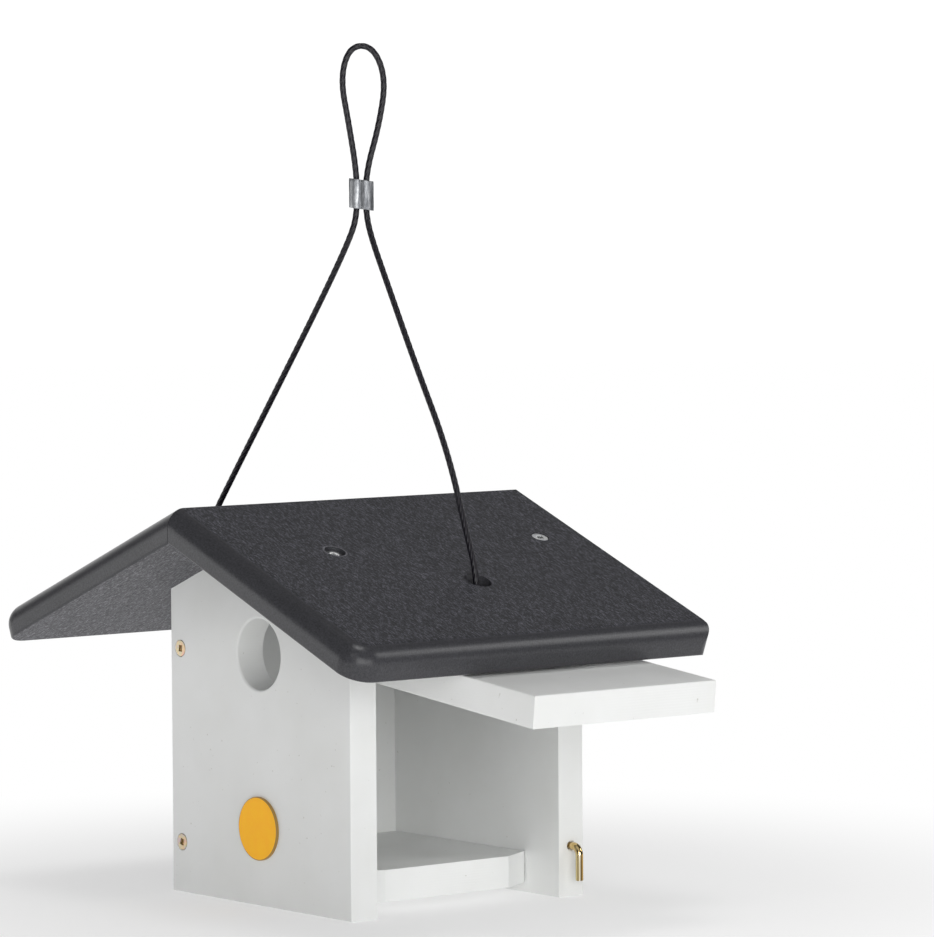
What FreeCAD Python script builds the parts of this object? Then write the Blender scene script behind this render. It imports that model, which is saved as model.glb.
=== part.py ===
import FreeCAD, Part
import math
import os

# Wren birdhouse built from half-inch recycled plastic board. Millimetres.
# Origin: centre of the body footprint at the foot of the panels; +Z up, the
# entrance hole faces -Y, the door is on +X. The door is drawn standing open.

V = FreeCAD.Vector

# ---- board and body ----
board = 12.7                 # thickness of every board
body_width = 119.4           # X, outside the side walls
body_depth = 117.6           # Y, outside the front and back panels
side_height = 123.0          # height of the panels at their outer edges
roof_pitch = 21.7            # degrees, same on both sides
panel_edge_ease = 0.5        # small round along the front outline of a panel
side_top = 112.0             # top of the left wall, leaves an air gap under the roof

# ---- entrance ----
entrance_bore = 28.575
entrance_height = 100.5
entrance_ease = 0.9          # round on the outer rim of the bore

# ---- floor ----
floor_lift = 3.9             # underside of the floor above the foot of the panels
floor_gap = 0.5              # between the floor and the front and back panels
floor_door_gap = 1.2         # between the floor and the closed door
floor_clip_x = 7.5           # clipped corners on the door side, drain the box
floor_clip_y = 14.3

# ---- door ----
door_gap = 0.8               # between the door and the front and back panels
door_foot = 0.3              # lower end of the closed door above the panels' foot
door_top = 112.0             # top of the closed door
door_ease = 0.6              # small round along the door's outer edges
pivot_height = 101.3
pivot_offset = 2.0           # pivot axis outside the middle of the door board
eave_gap = 0.85              # the open door rests this close under the eave
pivot_clearance = 0.05       # radial, pivot screw in the panel

# ---- roof ----
roof_front_overhang = 43.6
roof_back_overhang = 15.5
eave_reach = 118.0           # X of the lower edge of the eave
eave_corner = 11.0           # rounded front corner of the board, seen square on
eave_back_corner = 4.0       # the same at the back
roof_round = 8.0             # large round along the front and eave edges
roof_back_ease = 0.7         # small bevel, the back edge is sawn and not rounded over
roof_under_round = 1.0       # small round along the lower edges
ridge_seam = 0.3             # open seam between the two roof boards
cable_hole = 10.8
cable_hole_x = 73.1
cable_hole_y = -5.6

# ---- screws ----
screw_shank = 4.0
screw_head = 6.6
screw_head_depth = 1.9
screw_length = 32.0
screw_tip = 4.0
screw_drive = 2.4            # square recess
screw_drive_depth = 1.6
roof_screw_head = 6.8
roof_screw_head_depth = 2.0
roof_screw_length = 34.0
roof_screw_x_front = 42.5
roof_screw_x_back = 41.2
roof_screw_bore_front = 8.4  # wide mouth over the front pair's heads
roof_screw_sink_front = 1.4  # depth of the heads under the surface, front pair
roof_screw_sink_back = 0.2   # the same for the back pair
fit_clearance = 0.3          # radial, round pieces in their holes
wall_screw_low = 20.5
wall_screw_high = 99.3
floor_screw_spread = 28.0

# ---- latch hook ----
hook_wire = 3.1
hook_height = 20.4
hook_reach = 5.2             # face of the panel to the middle of the arm
hook_bend = 3.4
hook_arm = 13.7              # hook axis to the tip
hook_root = 16.0             # threaded end inside the panel
hook_mouth = 4.2             # widened mouth of the hook's hole
hook_mouth_depth = 1.0
hook_tip_chamfer = 0.35

# ---- label disc ----
disc_diameter = 25.4
disc_thickness = 1.2
disc_ease = 0.25
disc_x = 0.0
disc_height = 31.0

# ---- hanging cable ----
cable = 2.5
sleeve_low = 276.5
sleeve_high = 288.3
sleeve_barrel = 6.4
sleeve_pitch = 3.5           # centre to centre of the two barrels
sleeve_ease = 0.7
loop_turn = 51.3             # degrees, wide side of sleeve and loop about Z
stop_diameter = 6.0
stop_length = 7.0
cable_tail = 1.0             # cable standing out under the stop
cable_rise = 0.5             # first bend of the cable above the roof board
washer_diameter = 18.0
washer_bore = 4.6
washer_thickness = 1.3

# ---- derived ----
half_width = body_width / 2
half_depth = body_depth / 2
slope = math.radians(roof_pitch)
ridge_under = side_height + half_width * math.tan(slope)
ridge_top = ridge_under + board / math.cos(slope)
pivot_x = half_width - board / 2 + pivot_offset
side_screw_x = half_width - board / 2
panel_middle = half_depth - board / 2
door_half = half_depth - board - door_gap
floor_top = floor_lift + board

# The door swings up until it meets the lower edge of the eave.
eave_height = ridge_under - eave_reach * math.tan(slope)
eave_distance = math.hypot(eave_reach - pivot_x, eave_height - pivot_height)
eave_bearing = math.atan2(eave_height - pivot_height, eave_reach - pivot_x)
door_rise = board / 2 - pivot_offset
door_tilt = math.asin((door_rise + eave_gap) / eave_distance) - eave_bearing
door_open_angle = 90 - math.degrees(door_tilt)

# The washers lie under the sloping boards and the stops hang just below them.
hole_under = ridge_under - cable_hole_x * math.tan(slope)
hole_top = hole_under + board / math.cos(slope)
stop_top = (hole_under - washer_thickness / math.cos(slope)
            - stop_diameter / 2 * math.tan(slope) - fit_clearance)
stop_low = stop_top - stop_length
cable_end = stop_low - cable_tail
cable_bend = hole_top + cable_rise


def box(x0, x1, y0, y1, z0, z1):
    return Part.makeBox(x1 - x0, y1 - y0, z1 - z0, V(x0, y0, z0))


def edges_where(shape, test):
    return [edge for edge in shape.Edges if test(edge)]


def on_plane(edge, axis, value):
    bounds = edge.BoundBox
    low = {"x": bounds.XMin, "y": bounds.YMin, "z": bounds.ZMin}[axis]
    high = {"x": bounds.XMax, "y": bounds.YMax, "z": bounds.ZMax}[axis]
    return abs(low - value) < 1e-4 and abs(high - value) < 1e-4


def screw(head, shank, head_depth, length, position, direction):
    """A countersunk screw: the middle of its flat head lies at position."""
    along = V(direction).normalize()
    body = Part.makeCone(head / 2, shank / 2, head_depth, V(0, 0, 0), V(0, 0, 1))
    rod = Part.makeCylinder(shank / 2, length - screw_tip - head_depth, V(0, 0, head_depth))
    tip = Part.makeCone(shank / 2, 0.35, screw_tip, V(0, 0, length - screw_tip))
    half = screw_drive / 2
    recess = box(-half, half, -half, half, -0.1, screw_drive_depth)
    solid = body.fuse([rod, tip]).removeSplitter().cut(recess)
    solid.Placement = FreeCAD.Placement(position, FreeCAD.Rotation(V(0, 0, 1), along))
    return solid


def screw_hole(head, shank, head_depth, length, position, direction, gap, sink=0.0):
    """The room a countersunk screw needs, with a radial gap around it."""
    along = V(direction).normalize()
    start = position - along * (sink + 0.01)
    wide = Part.makeCylinder(head / 2 + fit_clearance, sink + 0.02, start, along)
    cone = Part.makeCone(head / 2 + fit_clearance, shank / 2 + gap, head_depth + fit_clearance,
                         position, along)
    rod = Part.makeCylinder(shank / 2 + gap, length + 1.0, position, along)
    return wide.fuse([cone, rod])


def wall_screw_places():
    """Two screws through each panel into the ends of the left wall."""
    places = []
    for side in (-1, 1):
        for height in (wall_screw_low, wall_screw_high):
            places.append((V(-side_screw_x, side * half_depth, height), V(0, -side, 0)))
    return places


def floor_screw_places():
    """Two screws through the left wall and one through the back panel."""
    height = floor_lift + board / 2
    places = [(V(-half_width, side * floor_screw_spread, height), V(1, 0, 0)) for side in (-1, 1)]
    places.append((V(0, half_depth, height), V(0, -1, 0)))
    return places


def roof_screw_places(side):
    """Two screws square through one roof board into the panels' sloping edges."""
    down = V(-side * math.sin(slope), 0, -math.cos(slope))
    places = []
    for x, y, sink in ((roof_screw_x_front, -panel_middle, roof_screw_sink_front),
                       (roof_screw_x_back, panel_middle, roof_screw_sink_back)):
        top = ridge_top - x * math.tan(slope)
        places.append((V(side * x, y, top) + down * sink, down))
    return places


def pivot_place(side):
    return V(pivot_x, side * half_depth, pivot_height), V(0, -side, 0)


def common_hole(place, gap=fit_clearance):
    return screw_hole(screw_head, screw_shank, screw_head_depth, screw_length,
                      place[0], place[1], gap)


def roof_hole(place):
    hole = screw_hole(roof_screw_head, screw_shank, roof_screw_head_depth, roof_screw_length,
                      place[0], place[1], fit_clearance, roof_screw_sink_front)
    if place[0].y > 0:
        return hole
    mouth = Part.makeCylinder(roof_screw_bore_front / 2, 2 * roof_screw_sink_front,
                              place[0] - place[1] * 2 * roof_screw_sink_front, place[1])
    return hole.fuse(mouth)


def gable_panel(side):
    """Front (side -1) or back (side 1) panel with its gable top."""
    outer = side * half_depth
    corners = [
        V(-half_width, outer, 0),
        V(half_width, outer, 0),
        V(half_width, outer, side_height),
        V(0, outer, ridge_under),
        V(-half_width, outer, side_height),
    ]
    face = Part.Face(Part.makePolygon(corners + [corners[0]]))
    panel = face.extrude(V(0, -side * board, 0))
    lower = edges_where(panel, lambda e: on_plane(e, "y", outer) and e.BoundBox.ZMin < side_height - 1)
    panel = panel.makeFillet(panel_edge_ease, lower)
    holes = [common_hole(p) for p in wall_screw_places() if p[0].y * side > 0]
    holes.append(common_hole(pivot_place(side), pivot_clearance))
    for board_side in (-1, 1):
        holes += [roof_hole(p) for p in roof_screw_places(board_side) if p[0].y * side > 0]
    return panel, holes


def make_front_panel():
    panel, holes = gable_panel(-1)
    bore = Part.makeCylinder(entrance_bore / 2, board + 2, V(0, -half_depth - 1, entrance_height),
                             V(0, 1, 0))
    panel = panel.cut(bore)
    rim = edges_where(panel, lambda e: on_plane(e, "y", -half_depth)
                      and abs(e.BoundBox.ZLength - entrance_bore) < 0.01)
    panel = panel.makeFillet(entrance_ease, rim)
    return panel.cut(holes)


def make_back_panel():
    panel, holes = gable_panel(1)
    holes += [common_hole(p) for p in floor_screw_places() if p[1].y < 0]
    hook_bore = Part.makeCylinder(hook_wire / 2 + pivot_clearance, hook_root + 1,
                                  V(half_width - hook_root - 0.5, panel_middle, hook_height),
                                  V(1, 0, 0))
    mouth = Part.makeCylinder(hook_mouth / 2, hook_mouth_depth + 1,
                              V(half_width - hook_mouth_depth, panel_middle, hook_height),
                              V(1, 0, 0))
    return panel.cut(holes + [hook_bore, mouth])


def make_left_wall():
    wall = box(-half_width, -half_width + board, -half_depth + board, half_depth - board,
               0, side_top)
    outer = edges_where(wall, lambda e: on_plane(e, "x", -half_width) and not e.BoundBox.ZLength > 1)
    wall = wall.makeFillet(panel_edge_ease, outer)
    holes = [common_hole(p) for p in wall_screw_places()]
    holes += [common_hole(p) for p in floor_screw_places() if p[1].x > 0]
    return wall.cut(holes)


def make_floor():
    left = -half_width + board
    right = half_width - board - floor_door_gap
    half = half_depth - board - floor_gap
    corners = [
        V(left, -half, floor_lift),
        V(right - floor_clip_x, -half, floor_lift),
        V(right, -half + floor_clip_y, floor_lift),
        V(right, half - floor_clip_y, floor_lift),
        V(right - floor_clip_x, half, floor_lift),
        V(left, half, floor_lift),
    ]
    face = Part.Face(Part.makePolygon(corners + [corners[0]]))
    panel = face.extrude(V(0, 0, board))
    return panel.cut([common_hole(p) for p in floor_screw_places()])


def open_door(shape):
    """Swing a shape drawn for the closed door to its open position."""
    shape.rotate(V(pivot_x, 0, pivot_height), V(0, -1, 0), door_open_angle)
    return shape


def make_door():
    door = box(half_width - board, half_width, -door_half, door_half, door_foot, door_top)
    outer = edges_where(door, lambda e: on_plane(e, "x", half_width))
    door = door.makeFillet(door_ease, outer)
    for side in (-1, 1):
        position, along = pivot_place(side)
        door = door.cut(Part.makeCylinder(screw_shank / 2, screw_length + 1.0, position, along))
    return open_door(door)


def make_pivot_screw(side):
    position, along = pivot_place(side)
    return open_door(screw(screw_head, screw_shank, screw_head_depth, screw_length,
                           position, along))


def height_over_slope(point):
    """Distance of a point above the underside of its roof board, square to the board."""
    return (point.z - ridge_under + abs(point.x) * math.tan(slope)) * math.cos(slope)


def roof_board(side, front, back, corner):
    """One plain roof board: mitred plumb at the ridge, its two eave corners rounded."""
    lean = math.tan(slope)
    near = ridge_seam / 2
    lower = V(side * eave_reach, front, eave_height)
    corners = [
        V(side * near, front, ridge_under - near * lean),
        lower,
        lower + V(side * board * math.sin(slope), 0, board * math.cos(slope)),
        V(side * near, front, ridge_top - near * lean),
    ]
    face = Part.Face(Part.makePolygon(corners + [corners[0]]))
    roof = face.extrude(V(0, back - front, 0))
    uprights = edges_where(roof, lambda e: e.BoundBox.YLength < 0.01
                           and abs(e.BoundBox.XLength - board * math.sin(slope)) < 0.01)
    return roof.makeFillet(corner, uprights)


def roof_rim(roof, level):
    """Edges along the outline of the top (level board) or the underside (level 0)."""
    def on_rim(edge):
        ends = [v.Point for v in edge.Vertexes]
        flat = all(abs(height_over_slope(p) - level) < 0.01 for p in ends)
        at_ridge = all(abs(abs(p.x) - ridge_seam / 2) < 0.01 for p in ends)
        return flat and not at_ridge
    return edges_where(roof, on_rim)


def back_bevel(side, back, level):
    """A wedge that eases the back edge of the top (level board) or the underside (level 0)."""
    along = V(side * math.cos(slope), 0, -math.sin(slope))
    out = V(side * math.sin(slope), 0, math.cos(slope)) * (1 if level > 0 else -1)
    corner = V(0, back, ridge_under + level / math.cos(slope)) - along * 20
    points = [corner - V(0, roof_back_ease, 0), corner - out * roof_back_ease,
              corner + V(0, 2, 0) + out * 2]
    face = Part.Face(Part.makePolygon(points + [points[0]]))
    return face.extrude(along * 200)


def make_roof(side):
    """One roof board: rounded over at the front and the eave, sawn off and eased at the back."""
    front = -half_depth - roof_front_overhang
    back = half_depth + roof_back_overhang
    roof = roof_board(side, front, back + 30, eave_corner)
    roof = roof.makeFillet(roof_round, roof_rim(roof, board))
    roof = roof.makeFillet(roof_under_round, roof_rim(roof, 0))
    roof = roof.common(roof_board(side, front - 30, back, eave_back_corner))
    holes = [roof_hole(p) for p in roof_screw_places(side)]
    holes += [back_bevel(side, back, level) for level in (0, board)]
    holes.append(Part.makeCylinder(cable_hole / 2, 60, V(side * cable_hole_x, cable_hole_y, 95)))
    return roof.cut(holes)


def make_hook():
    """Square-bend screw hook, its arm hanging down."""
    elbow = V(half_width + hook_reach, panel_middle, hook_height)
    start = V(half_width - hook_root, panel_middle, hook_height)
    turn_in = elbow - V(hook_bend, 0, 0)
    turn_out = elbow - V(0, 0, hook_bend)
    bow = hook_bend * (1 - math.sqrt(0.5))
    middle = elbow + V(-bow, 0, -bow)
    tip = V(elbow.x, elbow.y, hook_height - hook_arm)
    path = Part.Wire([
        Part.LineSegment(start, turn_in).toShape(),
        Part.Arc(turn_in, middle, turn_out).toShape(),
        Part.LineSegment(turn_out, tip).toShape(),
    ])
    circle = Part.Wire(Part.makeCircle(hook_wire / 2, start, V(1, 0, 0)))
    wire = path.makePipeShell([circle], True, False)
    rims = edges_where(wire, lambda e: on_plane(e, "z", tip.z) or on_plane(e, "x", start.x))
    return wire.makeChamfer(hook_tip_chamfer, rims)


def make_disc():
    """Flat round label plate, lettering left off."""
    place = V(disc_x, -half_depth, disc_height)
    disc = Part.makeCylinder(disc_diameter / 2, disc_thickness, place, V(0, -1, 0))
    rim = edges_where(disc, lambda e: on_plane(e, "y", -half_depth - disc_thickness))
    return disc.makeFillet(disc_ease, rim)


def across(offset, height):
    """A point beside the cable's middle line, measured along the wide side of the loop."""
    turn = math.radians(loop_turn)
    return V(offset * math.cos(turn), cable_hole_y + offset * math.sin(turn), height)


# The cable runs from the left stop up to the sleeve, round the loop and down
# to the right stop. Each point is a bend between two straight runs.
left_leg = [
    V(-cable_hole_x, cable_hole_y, cable_end),
    V(-cable_hole_x, cable_hole_y, cable_bend),
    V(-85.5, -21.0, 145.5),
    V(-71.6, -19.4, 165.1),
    V(-47.1, -16.5, 198.8),
    V(-17.9, -12.6, 239.9),
    V(-2.2, -9.2, 265.8),
]
loop = [
    across(-sleeve_pitch / 2, 275.0),
    across(-sleeve_pitch / 2, 290.5),
    across(-4.8, 310.5),
    across(-8.1, 329.0),
    across(-4.2, 341.8),
    across(5.0, 341.8),
    across(10.2, 329.0),
    across(7.4, 310.5),
    across(sleeve_pitch / 2, 290.5),
    across(sleeve_pitch / 2, 275.0),
]
right_leg = [
    V(5.0, -4.5, 264.9),
    V(15.5, -5.0, 247.4),
    V(33.9, -5.4, 215.5),
    V(54.5, -5.6, 181.8),
    V(66.5, -5.6, 148.8),
    V(cable_hole_x, cable_hole_y, cable_bend),
    V(cable_hole_x, cable_hole_y, cable_end),
]
cable_points = left_leg + loop + right_leg


def make_cable():
    points = cable_points
    pieces = []
    radii = []
    last = points[0]
    for before, point, after in zip(points, points[1:], points[2:]):
        back = (before - point)
        ahead = (after - point)
        half_turn = (math.pi - back.getAngle(ahead)) / 2
        reach = 0.45 * min(back.Length, ahead.Length)
        radius = reach / math.tan(half_turn)
        radii.append(radius)
        back.normalize()
        ahead.normalize()
        enter = point + back * reach
        leave = point + ahead * reach
        centre_way = (back + ahead).normalize()
        middle = point + centre_way * (radius / math.cos(half_turn) - radius)
        pieces.append(Part.LineSegment(last, enter).toShape())
        pieces.append(Part.Arc(enter, middle, leave).toShape())
        last = leave
    pieces.append(Part.LineSegment(last, points[-1]).toShape())
    path = Part.Wire(pieces)
    circle = Part.Wire(Part.makeCircle(cable / 2, points[0], points[1] - points[0]))
    tube = path.makePipeShell([circle], True, False)
    print("door opens by", round(door_open_angle, 3), "degrees")
    print("cable radii", [round(r, 1) for r in radii])
    print("cable ends", round(cable_end, 3), "bend", round(cable_bend, 3))
    print("cable length", round(path.Length, 1), "volume ratio",
          round(tube.Volume / (path.Length * math.pi * cable ** 2 / 4), 4))
    return tube


def make_sleeve():
    """Crimped double-barrel sleeve."""
    height = sleeve_high - sleeve_low
    barrels = []
    for offset in (-sleeve_pitch / 2, sleeve_pitch / 2):
        barrel = Part.makeCylinder(sleeve_barrel / 2, height, across(offset, sleeve_low))
        rims = edges_where(barrel, lambda e: on_plane(e, "z", sleeve_low)
                           or on_plane(e, "z", sleeve_high))
        barrels.append(barrel.makeFillet(sleeve_ease, rims))
    sleeve = barrels[0].fuse(barrels[1])
    bores = [Part.makeCylinder(cable / 2 + fit_clearance, height + 2,
                               across(s * sleeve_pitch / 2, sleeve_low - 1)) for s in (-1, 1)]
    return sleeve.cut(bores)


def make_stop(side):
    place = V(side * cable_hole_x, cable_hole_y, stop_low)
    stop = Part.makeCylinder(stop_diameter / 2, stop_length, place)
    rims = edges_where(stop, lambda e: on_plane(e, "z", stop_low) or on_plane(e, "z", stop_top))
    stop = stop.makeFillet(sleeve_ease, rims)
    return stop.cut(Part.makeCylinder(cable / 2 + fit_clearance, stop_length + 2, place - V(0, 0, 1)))


def make_washer(side):
    """Flat washer lying against the sloping underside of the roof board."""
    place = V(side * cable_hole_x, cable_hole_y, hole_under)
    down = V(-side * math.sin(slope), 0, -math.cos(slope))
    washer = Part.makeCylinder(washer_diameter / 2, washer_thickness, place, down)
    return washer.cut(Part.makeCylinder(washer_bore / 2, washer_thickness + 2, place - down, down))


def main():
    os.makedirs("parts", exist_ok=True)
    nodes = {
        "front_panel": [make_front_panel()],
        "back_panel": [make_back_panel()],
        "left_wall": [make_left_wall()],
        "floor_panel": [make_floor()],
        "side_door": [make_door()],
        "roof_left": [make_roof(-1)],
        "roof_right": [make_roof(1)],
        "pivot_screw_front": [make_pivot_screw(-1)],
        "pivot_screw_back": [make_pivot_screw(1)],
        "latch_hook": [make_hook()],
        "label_disc": [make_disc()],
        "hanging_cable": [make_cable()],
        "cable_sleeve": [make_sleeve()],
        "cable_stop_left": [make_stop(-1)],
        "cable_stop_right": [make_stop(1)],
        "cable_washer_left": [make_washer(-1)],
        "cable_washer_right": [make_washer(1)],
        "wall_screws": [screw(screw_head, screw_shank, screw_head_depth, screw_length, *p)
                        for p in wall_screw_places()],
        "floor_screws": [screw(screw_head, screw_shank, screw_head_depth, screw_length, *p)
                         for p in floor_screw_places()],
        "roof_screws": [screw(roof_screw_head, screw_shank, roof_screw_head_depth,
                              roof_screw_length, *p)
                        for side in (-1, 1) for p in roof_screw_places(side)],
    }
    for node, shapes in nodes.items():
        solids = [solid for shape in shapes for solid in shape.Solids]
        whole = solids[0] if len(solids) == 1 else Part.makeCompound(solids)
        if not whole.isValid():
            raise RuntimeError(node + " is not a valid shape")
        whole.exportStep("parts/" + node + ".step")
        print(node, len(solids), round(whole.Volume, 1))


main()
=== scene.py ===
import math

import bmesh
import bpy
from bpy.props import FloatProperty, FloatVectorProperty, PointerProperty
from mathutils import Matrix, Vector


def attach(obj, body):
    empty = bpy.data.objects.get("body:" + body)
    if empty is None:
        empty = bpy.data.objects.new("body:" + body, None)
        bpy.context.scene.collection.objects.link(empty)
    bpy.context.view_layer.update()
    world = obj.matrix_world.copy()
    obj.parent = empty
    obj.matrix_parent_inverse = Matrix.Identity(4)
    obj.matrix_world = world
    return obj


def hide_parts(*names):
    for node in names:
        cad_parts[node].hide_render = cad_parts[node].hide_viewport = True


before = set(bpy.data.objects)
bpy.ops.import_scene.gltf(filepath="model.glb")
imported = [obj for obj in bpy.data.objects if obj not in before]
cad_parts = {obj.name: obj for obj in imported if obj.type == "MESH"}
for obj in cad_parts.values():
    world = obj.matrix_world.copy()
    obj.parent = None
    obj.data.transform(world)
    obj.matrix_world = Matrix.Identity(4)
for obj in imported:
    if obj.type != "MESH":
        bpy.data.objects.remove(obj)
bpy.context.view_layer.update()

bl_info = {
    "name": "Board birdhouse",
    "version": (1, 0, 0),
    "blender": (4, 5, 0),
    "location": "3D View > Sidebar > Birdhouse",
    "description": "Finishes and fittings of a hanging birdhouse made of plastic boards",
    "category": "Object",
}

MM = 0.001

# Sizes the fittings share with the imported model, in millimetres.
BOARD = 12.7
HALF_WIDTH = 59.7
HALF_DEPTH = 58.8
FLOOR_LIFT = 3.9
PANEL_MIDDLE = HALF_DEPTH - BOARD / 2    # middle of the front and back panel's thickness
SIDE_MIDDLE = HALF_WIDTH - BOARD / 2     # middle of the side walls' thickness
SLOPE = math.radians(21.7)
RIDGE_UNDER = 123.0 + HALF_WIDTH * math.tan(SLOPE)
RIDGE_TOP = RIDGE_UNDER + BOARD / math.cos(SLOPE)
DOOR_OPEN = math.radians(83.868)
PIVOT_X = SIDE_MIDDLE + 2.0
PIVOT_HEIGHT = 101.3
WALL_SCREW_HEIGHTS = (20.5, 99.3)
FLOOR_SCREW_Y = 28.0
ROOF_SCREWS = ((42.5, -PANEL_MIDDLE, 1.4), (41.2, PANEL_MIDDLE, 0.2))    # x, y, how far sunk
ROOF_MOUTH = 8.4                         # bore over the front pair of roof screws
SHANK = 4.0
DRIVE = 2.4                              # across the square recess of a screw
DRIVE_DEPTH = 1.6
THREAD_DEPTH = 0.45
HOOK_HEIGHT = 20.4
HOOK_WIRE = 1.55                         # radius
HOOK_REACH = 5.2                         # from the panel's edge to the hanging arm
HOOK_BEND = 3.4
HOOK_ARM = 13.7
HOOK_ROOT = 16.0                         # threaded part inside the panel
LABEL_HEIGHT = 31.0
LABEL_RADIUS = 12.5
CABLE_HOLE_X = 73.1
CABLE_HOLE_Y = -5.6
STOP_LOW = 107.774
SLEEVE_BARREL = 3.2                      # radius of each barrel
SLEEVE_PITCH = 3.5                       # between the two barrels' axes
SLEEVE_BORE = 1.5
SLEEVE_LOW = 276.5
SLEEVE_HIGH = 288.3
CABLE_STEP = 0.7                         # between two rings of the cable's skin
CABLE_STRANDS = 6
LOOP_TURN = math.radians(51.3)           # direction of the loop's wide side, from +X

# Camera and lights, in metres, degrees and millimetres of lens.
CAMERA_PLACE = (1.61198, -1.24312, 0.28771)
CAMERA_ANGLES = (51.31, 3.26, -0.35)     # azimuth, elevation, roll
LENS_FOCUS = 194.2344
BACKDROP = (-0.78, 0.625, 0.0)           # the direction the backdrop stands in
# Each light's place, what it points at, and its width.
LIGHTS = {
    "fill": ((1.65, -1.3, 0.5), (0, 0, 0.08), 1.0),
    "side": ((1.95, -0.35, 0.25), (0, 0, 0.05), 1.1),
    "key": ((1.0, 1.15, 1.0), (0, 0, 0.12), 0.6),
    "top": ((0.2, -0.1, 1.5), (0.1, 0, 0.1), 0.5),
    "front": ((0.7, -1.5, 1.3), (0.1, -0.1, 0.12), 0.22),
    "left": ((-1.6, -1.35, 0.22), (0, -0.1, 0.12), 0.8),
}

# The cable's route in metres, from the left stop over the loop to the right stop.
# The loop's points are (offset along its wide side, height).
LOOP_ROUTE = [
    (-0.00175, 0.2750), (-0.00175, 0.2905), (-0.0048, 0.3105), (-0.0081, 0.3290),
    (-0.0042, 0.3418), (0.0050, 0.3418), (0.0102, 0.3290), (0.0074, 0.3105),
    (0.00175, 0.2905), (0.00175, 0.2750),
]
LEFT_ROUTE = [
    (-0.0731, -0.0056, 0.106774), (-0.0731, -0.0056, 0.131836), (-0.0855, -0.0210, 0.1455),
    (-0.0716, -0.0194, 0.1651), (-0.0471, -0.0165, 0.1988), (-0.0179, -0.0126, 0.2399),
    (-0.0022, -0.0092, 0.2658),
]
RIGHT_ROUTE = [
    (0.0050, -0.0045, 0.2649), (0.0155, -0.0050, 0.2474), (0.0339, -0.0054, 0.2155),
    (0.0545, -0.0056, 0.1818), (0.0665, -0.0056, 0.1488), (0.0731, -0.0056, 0.131836),
    (0.0731, -0.0056, 0.106774),
]


# ---------------------------------------------------------------- colours and nodes

def linear(colour):
    """An sRGB hex colour as linear RGBA. A colour from a setting is linear already."""
    if not isinstance(colour, str):
        return tuple(colour)
    parts = [int(colour[i:i + 2], 16) / 255 for i in (1, 3, 5)]
    return tuple(c / 12.92 if c <= 0.04045 else ((c + 0.055) / 1.055) ** 2.4
                 for c in parts) + (1.0,)


def add_node(tree, kind, settings=None, links=None):
    """Adds a node. Settings are attributes or input values; links join inputs to other outputs."""
    node = tree.nodes.new(kind)
    for key, value in (settings or {}).items():
        if key == "stops":
            elements = node.color_ramp.elements
            elements[0].position, elements[-1].position = value[0][0], value[-1][0]
            for position, _ in value[1:-1]:
                elements.new(position)
            for element, (_, colour) in zip(elements, value):
                element.color = linear(colour)
        elif isinstance(key, str) and hasattr(node, key):
            setattr(node, key, value)
        else:
            node.inputs[key].default_value = value
    for key, (source, output) in (links or {}).items():
        tree.links.new(source.outputs[output], node.inputs[key])
    return node


def new_material(name, shader_settings):
    """An empty material with one Principled shader. Returns the material, its tree and shader."""
    material = bpy.data.materials.new(name)
    material.use_nodes = True
    tree = material.node_tree
    tree.nodes.clear()
    shader = add_node(tree, "ShaderNodeBsdfPrincipled", shader_settings)
    add_node(tree, "ShaderNodeOutputMaterial", {}, {"Surface": (shader, "BSDF")})
    return material, tree, shader


def per_metre(millimetres):
    """Texture scale whose features are this many millimetres apart."""
    return 1000.0 / millimetres


def place(tree, size, turn=(0, 0, 0)):
    """Where a pattern lies: object coordinates, turned, with features this many mm per axis."""
    where = add_node(tree, "ShaderNodeTexCoord")
    return add_node(tree, "ShaderNodeMapping",
                    {"Rotation": turn, "Scale": [per_metre(s) for s in size]},
                    {"Vector": (where, "Object")})


def bumps(tree, shader, layers):
    """Chains heights into the shader's normal. Each layer is (node, strength, height in mm)."""
    above = {}
    for node, strength, height in layers:
        bump = add_node(tree, "ShaderNodeBump", {"Strength": strength, "Distance": height * MM},
                        {"Height": (node, 0), **above})
        above = {"Normal": (bump, "Normal")}
    tree.links.new(bump.outputs["Normal"], shader.inputs["Normal"])


def facing(tree, axis):
    """One on faces that look along the axis, either way, and nought on the others."""
    where = add_node(tree, "ShaderNodeTexCoord")
    dot = add_node(tree, "ShaderNodeVectorMath", {"operation": "DOT_PRODUCT", 1: axis},
                   {0: (where, "Normal")})
    size = add_node(tree, "ShaderNodeMath", {"operation": "ABSOLUTE"}, {0: (dot, "Value")})
    return add_node(tree, "ShaderNodeMapRange",
                    {"From Min": 0.66, "From Max": 0.74},
                    {"Value": (size, 0)})


def ring_mask(tree, spots, middle, half):
    """One on a thin ring round each axis and nought elsewhere; spots and sizes in mm."""
    where = add_node(tree, "ShaderNodeTexCoord")
    mask = None
    for centre, axis in spots:
        offset = add_node(tree, "ShaderNodeVectorMath",
                          {"operation": "SUBTRACT", 1: tuple(c * MM for c in centre)},
                          {0: (where, "Object")})
        across_axis = add_node(tree, "ShaderNodeVectorMath",
                               {"operation": "CROSS_PRODUCT", 1: axis}, {0: (offset, 0)})
        radius = add_node(tree, "ShaderNodeVectorMath", {"operation": "LENGTH"},
                          {0: (across_axis, 0)})
        off_middle = add_node(tree, "ShaderNodeMath", {"operation": "SUBTRACT", 1: middle * MM},
                              {0: (radius, "Value")})
        distance = add_node(tree, "ShaderNodeMath", {"operation": "ABSOLUTE"},
                            {0: (off_middle, 0)})
        ring = add_node(tree, "ShaderNodeMapRange",
                        {"From Min": half * MM, "From Max": half * 0.4 * MM},
                        {"Value": (distance, 0)})
        mask = ring if mask is None else add_node(
            tree, "ShaderNodeMath", {"operation": "MAXIMUM"}, {0: (mask, 0), 1: (ring, 0)})
    return mask


# ---------------------------------------------------------------- materials

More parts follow.
